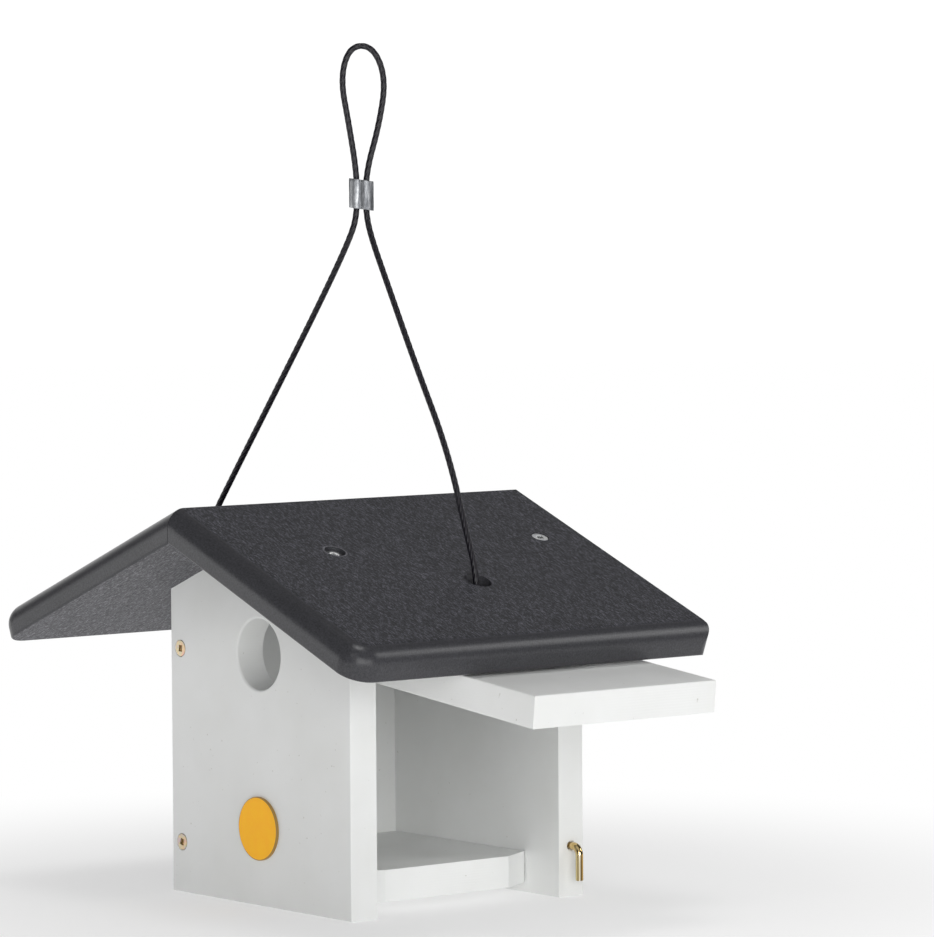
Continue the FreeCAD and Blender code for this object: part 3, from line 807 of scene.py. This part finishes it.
def hook_mesh():
    """A square-bend screw hook: threaded root, one round bend, arm cut off flat."""
    bm = bmesh.new()
    bend = HOOK_BEND * MM
    corner = (HOOK_ROOT + HOOK_REACH - HOOK_BEND) * MM    # where the bend starts
    _, first = start_circle(bm, 0.4 * MM, 32)
    close_ring(bm, first)
    root, crest = 1.12, 1.52
    rings = [(1.1, 1.5)]
    height = 2.2
    while height < 12.4:
        rings += [(root, height), (crest, height + 0.4), (root, height + 0.8)]
        height += 1.15
    rings += [(root, 13.6), (HOOK_WIRE, 14.0), (HOOK_WIRE, corner / MM)]
    edges = turned(bm, first, [(r * MM, z * MM) for r, z in rings])
    last = list(dict.fromkeys(v for e in edges for v in e.verts))
    swing = bmesh.ops.spin(bm, geom=last + edges, cent=(-bend, 0, corner), axis=(0, 1, 0),
                           dvec=(0, 0, 0), angle=-math.pi / 2, steps=14, use_merge=False,
                           use_duplicate=False)["geom_last"]
    edges = ring_edges(swing)
    for step, shrink in (((HOOK_ARM - HOOK_BEND - 0.35) * MM, 1.0), (0.2 * MM, 0.93),
                         (0.15 * MM, 0.76)):
        verts, edges = next_ring(bm, edges)
        bmesh.ops.translate(bm, vec=(-step, 0, 0), verts=verts)
        middle = sum((v.co for v in verts), Vector()) / len(verts)
        for vert in verts:
            vert.co = middle + (vert.co - middle) * shrink
    close_ring(bm, edges)
    # Local +Z runs out of the panel and local -X is the hanging arm.
    turn = Matrix(((0, 0, 1), (0, 1, 0), (1, 0, 0))).to_4x4()
    spot = Matrix.Translation(Vector((HALF_WIDTH - HOOK_ROOT, PANEL_MIDDLE, HOOK_HEIGHT)) * MM)
    bmesh.ops.transform(bm, matrix=spot @ turn, verts=bm.verts)
    return bm


# ---------------------------------------------------------------- settings

def colour_setting(name, description, hex_colour):
    return FloatVectorProperty(name=name, description=description, subtype="COLOR", size=4,
                               min=0.0, max=1.0, default=linear(hex_colour))


def length_setting(name, description, millimetres):
    return FloatProperty(name=name, description=description, default=millimetres * MM, min=0.0,
                         unit="LENGTH", subtype="DISTANCE", precision=5)


def level_setting(name, description, level):
    return FloatProperty(name=name, description=description, default=level, min=0.0)


def power_setting(name, description, watts):
    return FloatProperty(name=name, description=description, default=watts, min=0.0,
                         unit="POWER")


class BirdhouseFinishes(bpy.types.PropertyGroup):
    """Colours of the boards, the label and the cable."""
    pale_board: colour_setting("Pale board", "Colour of the walls", "#EFF0EF")
    pale_shade: colour_setting("Pale board shade", "Darker cloud in the walls", "#E9EAE8")
    label: colour_setting("Label", "Colour of the round label", "#FFBB08")
    label_edge: colour_setting("Label edge", "Colour of the label's cut edge", "#7A6A45")
    cable: colour_setting("Cable", "Colour of the vinyl coat", "#0C0A10")


class BirdhouseCable(bpy.types.PropertyGroup):
    """Sizes of the hanging cable and its sleeve."""
    diameter: length_setting("Diameter", "Outside diameter of the cable", 2.5)
    strand_dip: length_setting("Strand dip", "Depth between two strands under the coat", 0.13)
    lay: length_setting("Lay", "Length in which a strand goes round once", 19.0)
    sleeve_tilt: FloatProperty(name="Sleeve cut", description="How far its cut ends are off square",
                               default=math.radians(8.0), unit="ROTATION", subtype="ANGLE")


class BirdhouseStudio(bpy.types.PropertyGroup):
    """Lens of the camera and strengths of the lights."""
    lens: FloatProperty(name="Lens", description="Focal length on a 36 mm wide sensor",
                        default=LENS_FOCUS, min=20.0)
    room: level_setting("Room", "Brightness of the room all round", 0.07)
    backdrop: level_setting("Backdrop", "Brightness behind the birdhouse", 1.05)
    overhead: level_setting("Overhead", "How much of the light is left overhead", 0.9)
    fill: power_setting("Fill light", "Power of the broad light by the camera", 12.5)
    side: power_setting("Side light", "Power of the low light on the door side", 11.5)
    key: power_setting("Key light", "Power of the high light behind the door side", 5.0)
    top: power_setting("Top light", "Power of the light straight overhead", 4.5)
    front: power_setting("Front light", "Power of the small high light in front", 1.4)
    left: power_setting("Left light", "Power of the low light in front on the left", 3.5)


# ---------------------------------------------------------------- operators

class PieceOperator:
    """What the operators share: undo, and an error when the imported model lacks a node."""
    bl_options = {"REGISTER", "UNDO"}

    def need(self, *nodes):
        for node in nodes:
            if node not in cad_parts:
                raise RuntimeError("the packed model has no node " + node)


class BIRDHOUSE_OT_cable(PieceOperator, bpy.types.Operator):
    """Make the hanging cable from its route"""
    bl_idname = "birdhouse.cable"
    bl_label = "Hanging cable"

    def execute(self, context):
        self.need("hanging_cable")
        settings = context.scene.birdhouse_cable
        line = spline_line(route_points())
        points, length = even_steps(line, CABLE_STEP * MM)
        bm = stranded_tube(points, settings.diameter / 2, settings.strand_dip, CABLE_STRANDS,
                           settings.lay, 36)
        material = cable_material(context.scene.birdhouse_finishes.cable)
        piece = new_piece("cable_rope", bm, material, 60.0)
        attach(piece, "house")
        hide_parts("hanging_cable")
        metal = aluminium_material()
        sleeve = new_piece("cable_sleeve_crimped", sleeve_mesh(settings.sleeve_tilt), metal, 40.0)
        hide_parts("cable_sleeve")
        on_it = [sleeve]
        for side, label in ((-1, "left"), (1, "right")):
            stop = new_piece("cable_stop_crimped_" + label, stop_mesh(side), metal, 40.0)
            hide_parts("cable_stop_" + label)
            on_it.append(stop)
        for item in on_it:
            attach(item, "house")
        return {"FINISHED"}


class BIRDHOUSE_OT_washers(PieceOperator, bpy.types.Operator):
    """Make the two washers under the roof"""
    bl_idname = "birdhouse.washers"
    bl_label = "Washers"

    def execute(self, context):
        material = plated_material("Bright zinc plate, washers", BRIGHT_ZINC, 0.32, 5.0)
        for side, label in ((-1, "left"), (1, "right")):
            self.need("cable_washer_" + label)
            washer = new_piece("washer_" + label, washer_mesh(side), material, 40.0)
            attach(washer, "house")
            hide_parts("cable_washer_" + label)
        return {"FINISHED"}


class BIRDHOUSE_OT_screws(PieceOperator, bpy.types.Operator):
    """Make the wall, floor, roof and pivot screws"""
    bl_idname = "birdhouse.screws"
    bl_label = "Screws"

    def execute(self, context):
        yellow = plated_material("Yellow zinc plate", YELLOW_ZINC, 0.3, 2.2)
        # The front roof screws get the painted glint ring round their recess.
        bright = plated_material("Bright zinc plate", BRIGHT_ZINC, 0.28, 2.5,
                                 painted_glint_spots=[s for s in roof_screw_spots() if s[0][1] < 0])
        pivot = [((PIVOT_X, side * HALF_DEPTH, PIVOT_HEIGHT), (0, -side, 0)) for side in (-1, 1)]
        groups = [
            ("wall_screws", "wall_screws_cut", wall_screw_spots(), "house", (0.3, 0.08, 0.4, 0.9)),
            ("floor_screws", "floor_screws_cut", floor_screw_spots(), "house", (0.3, 0.7, 0.2)),
            ("pivot_screw_front", "pivot_front_cut", pivot[:1], "door", (0.35,)),
            ("pivot_screw_back", "pivot_back_cut", pivot[1:], "door", (0.8,)),
        ]
        for node, name, spots, body, turns in groups:
            self.need(node)
            screws = new_piece(name, screws_mesh(spots, 6.6, 1.9, 32.0, turns), yellow)
            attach(screws, body)
            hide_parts(node)
        self.need("roof_screws")
        roof = new_piece("roof_screws_cut",
                         screws_mesh(roof_screw_spots(), 6.8, 2.0, 34.0, (0.2, 0.9, 0.5, 0.15)),
                         bright)
        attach(roof, "house")
        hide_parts("roof_screws")
        return {"FINISHED"}


class BIRDHOUSE_OT_latch(PieceOperator, bpy.types.Operator):
    """Make the brass latch hook"""
    bl_idname = "birdhouse.latch"
    bl_label = "Latch hook"

    def execute(self, context):
        self.need("latch_hook")
        hook = new_piece("latch_hook_bent", hook_mesh(), brass_material(), 50.0)
        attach(hook, "latch")
        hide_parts("latch_hook")
        return {"FINISHED"}


class BIRDHOUSE_OT_boards(PieceOperator, bpy.types.Operator):
    """Finish the pale boards, the roof boards and the label"""
    bl_idname = "birdhouse.boards"
    bl_label = "Board finishes"

    def execute(self, context):
        finishes = context.scene.birdhouse_finishes
        # The direction each board's broad faces look in.
        faces = {"front_panel": (0, 1, 0), "back_panel": (0, 1, 0), "left_wall": (1, 0, 0),
                 "floor_panel": (0, 0, 1),
                 "side_door": (math.cos(DOOR_OPEN), 0, math.sin(DOOR_OPEN))}
        for node, axis in faces.items():
            self.need(node)
            material = pale_board_material("Sawn HDPE board, " + node.replace("_", " "), axis,
                                           finishes.pale_board, finishes.pale_shade)
            finish_node(node, material)
        for node, side in (("roof_left", -1), ("roof_right", 1)):
            self.need(node)
            material = roof_board_material("Grained HDPE board, " + node.replace("_", " "), side)
            finish_node(node, material)
        self.need("label_disc")
        finish_node("label_disc", label_material("Screen printed label", finishes.label,
                                                 finishes.label_edge))
        return {"FINISHED"}


def studio_floor_material():
    """White table lit from below: half glow near the house, pure white further out."""
    material, tree, shader = new_material("Lit white table", {
        "Base Color": linear("#FAFAFA"), "Roughness": 0.9})
    where = add_node(tree, "ShaderNodeTexCoord")
    radius = add_node(tree, "ShaderNodeVectorMath", {"operation": "LENGTH"},
                      {0: (where, "Object")})
    away = add_node(tree, "ShaderNodeMapRange",
                    {"interpolation_type": "SMOOTHSTEP", "From Min": 0.05, "From Max": 0.38,
                     "To Min": 0.45, "To Max": 1.0},
                    {"Value": (radius, "Value")})
    glow = add_node(tree, "ShaderNodeEmission", {"Color": linear("#FFFFFF"), "Strength": 1.0})
    mixed = add_node(tree, "ShaderNodeMixShader", {},
                     {0: (away, 0), 1: (shader, 0), 2: (glow, 0)})
    output = next(n for n in tree.nodes if n.bl_idname == "ShaderNodeOutputMaterial")
    tree.links.new(mixed.outputs[0], output.inputs["Surface"])
    return material


def soft_light(name, spot, target, size, power):
    """A square area light aimed at the target."""
    data = bpy.data.lights.new(name, "AREA")
    data.shape = "SQUARE"
    data.size = size
    data.energy = power
    light = bpy.data.objects.new(name, data)
    light.location = spot
    light.rotation_mode = "QUATERNION"
    light.rotation_quaternion = (Vector(target) - Vector(spot)).to_track_quat("-Z", "Y")
    bpy.context.scene.collection.objects.link(light)


def surround(room, backdrop, overhead):
    """A dim room with a white backdrop behind the birdhouse, darker overhead."""
    world = bpy.data.worlds.new("surround")
    world.use_nodes = True
    tree = world.node_tree
    tree.nodes.clear()
    where = add_node(tree, "ShaderNodeTexCoord")
    parts = add_node(tree, "ShaderNodeSeparateXYZ", {}, {0: (where, "Generated")})
    behind = add_node(tree, "ShaderNodeVectorMath", {"operation": "DOT_PRODUCT", 1: BACKDROP},
                      {0: (where, "Generated")})
    around = add_node(tree, "ShaderNodeMapRange",
                      {"interpolation_type": "SMOOTHSTEP", "From Min": 0.6, "From Max": 0.92,
                       "To Min": room, "To Max": backdrop}, {"Value": (behind, "Value")})
    climb = add_node(tree, "ShaderNodeMapRange",
                     {"interpolation_type": "SMOOTHSTEP", "From Min": 0.2, "From Max": 0.75,
                      "To Min": 1.0, "To Max": overhead}, {"Value": (parts, 2)})
    strength = add_node(tree, "ShaderNodeMath", {"operation": "MULTIPLY"},
                        {0: (around, 0), 1: (climb, 0)})
    sky = add_node(tree, "ShaderNodeBackground", {"Color": linear("#FFFFFF")},
                   {"Strength": (strength, 0)})
    add_node(tree, "ShaderNodeOutputWorld", {}, {"Surface": (sky, "Background")})
    return world


def add_camera(lens):
    """A camera from its place and angles; azimuth 0 looks along +Y."""
    data = bpy.data.cameras.new("camera")
    data.sensor_width = 36.0
    data.lens = lens
    data.clip_end = 50.0
    camera = bpy.data.objects.new("camera", data)
    azimuth, elevation, roll = (math.radians(a) for a in CAMERA_ANGLES)
    back = Vector((math.sin(azimuth) * math.cos(elevation),
                   -math.cos(azimuth) * math.cos(elevation), math.sin(elevation)))
    right = Vector((math.cos(azimuth), math.sin(azimuth), 0))
    up = back.cross(right)
    level_right = right * math.cos(roll) + up * math.sin(roll)
    level_up = up * math.cos(roll) - right * math.sin(roll)
    stance = Matrix((level_right, level_up, back)).transposed().to_4x4()
    stance.translation = CAMERA_PLACE
    camera.matrix_world = stance
    bpy.context.scene.collection.objects.link(camera)
    return camera


class BIRDHOUSE_OT_stage(PieceOperator, bpy.types.Operator):
    """Set the camera, the pale floor and the soft studio light"""
    bl_idname = "birdhouse.stage"
    bl_label = "Stage"

    def execute(self, context):
        studio = context.scene.birdhouse_studio
        scene = context.scene
        scene.camera = add_camera(studio.lens)
        bm = bmesh.new()
        bmesh.ops.create_circle(bm, cap_ends=True, segments=96, radius=6.0)
        floor = new_piece("studio_floor", bm, studio_floor_material())

        scene.world = surround(studio.room, studio.backdrop, studio.overhead)
        scene.view_settings.view_transform = "Standard"
        for name, (spot, target, size) in LIGHTS.items():
            soft_light(name + "_light", spot, target, size, getattr(studio, name))
        return {"FINISHED"}


class BIRDHOUSE_PT_panel(bpy.types.Panel):
    """Every setting, and a button for every operator."""
    bl_idname = "BIRDHOUSE_PT_panel"
    bl_label = "Birdhouse"
    bl_space_type = "VIEW_3D"
    bl_region_type = "UI"
    bl_category = "Birdhouse"

    def draw(self, context):
        layout = self.layout
        scene = context.scene
        for group in (scene.birdhouse_finishes, scene.birdhouse_cable, scene.birdhouse_studio):
            box = layout.box()
            for name in group.__annotations__:
                box.prop(group, name)
        for operator in OPERATORS:
            layout.operator(operator.bl_idname)


OPERATORS = (BIRDHOUSE_OT_stage, BIRDHOUSE_OT_cable, BIRDHOUSE_OT_boards, BIRDHOUSE_OT_screws,
             BIRDHOUSE_OT_washers, BIRDHOUSE_OT_latch)
GROUPS = (BirdhouseFinishes, BirdhouseCable, BirdhouseStudio)


def register():
    for item in GROUPS + OPERATORS + (BIRDHOUSE_PT_panel,):
        bpy.utils.register_class(item)
    bpy.types.Scene.birdhouse_finishes = PointerProperty(type=BirdhouseFinishes)
    bpy.types.Scene.birdhouse_cable = PointerProperty(type=BirdhouseCable)
    bpy.types.Scene.birdhouse_studio = PointerProperty(type=BirdhouseStudio)


def unregister():
    del bpy.types.Scene.birdhouse_finishes
    del bpy.types.Scene.birdhouse_cable
    del bpy.types.Scene.birdhouse_studio
    for item in (BIRDHOUSE_PT_panel,) + OPERATORS[::-1] + GROUPS[::-1]:
        bpy.utils.unregister_class(item)


def main():
    register()
    bpy.ops.birdhouse.stage()
    bpy.ops.birdhouse.cable()
    bpy.ops.birdhouse.boards()
    bpy.ops.birdhouse.screws()
    bpy.ops.birdhouse.washers()
    bpy.ops.birdhouse.latch()


if __name__ == "__main__":
    main()
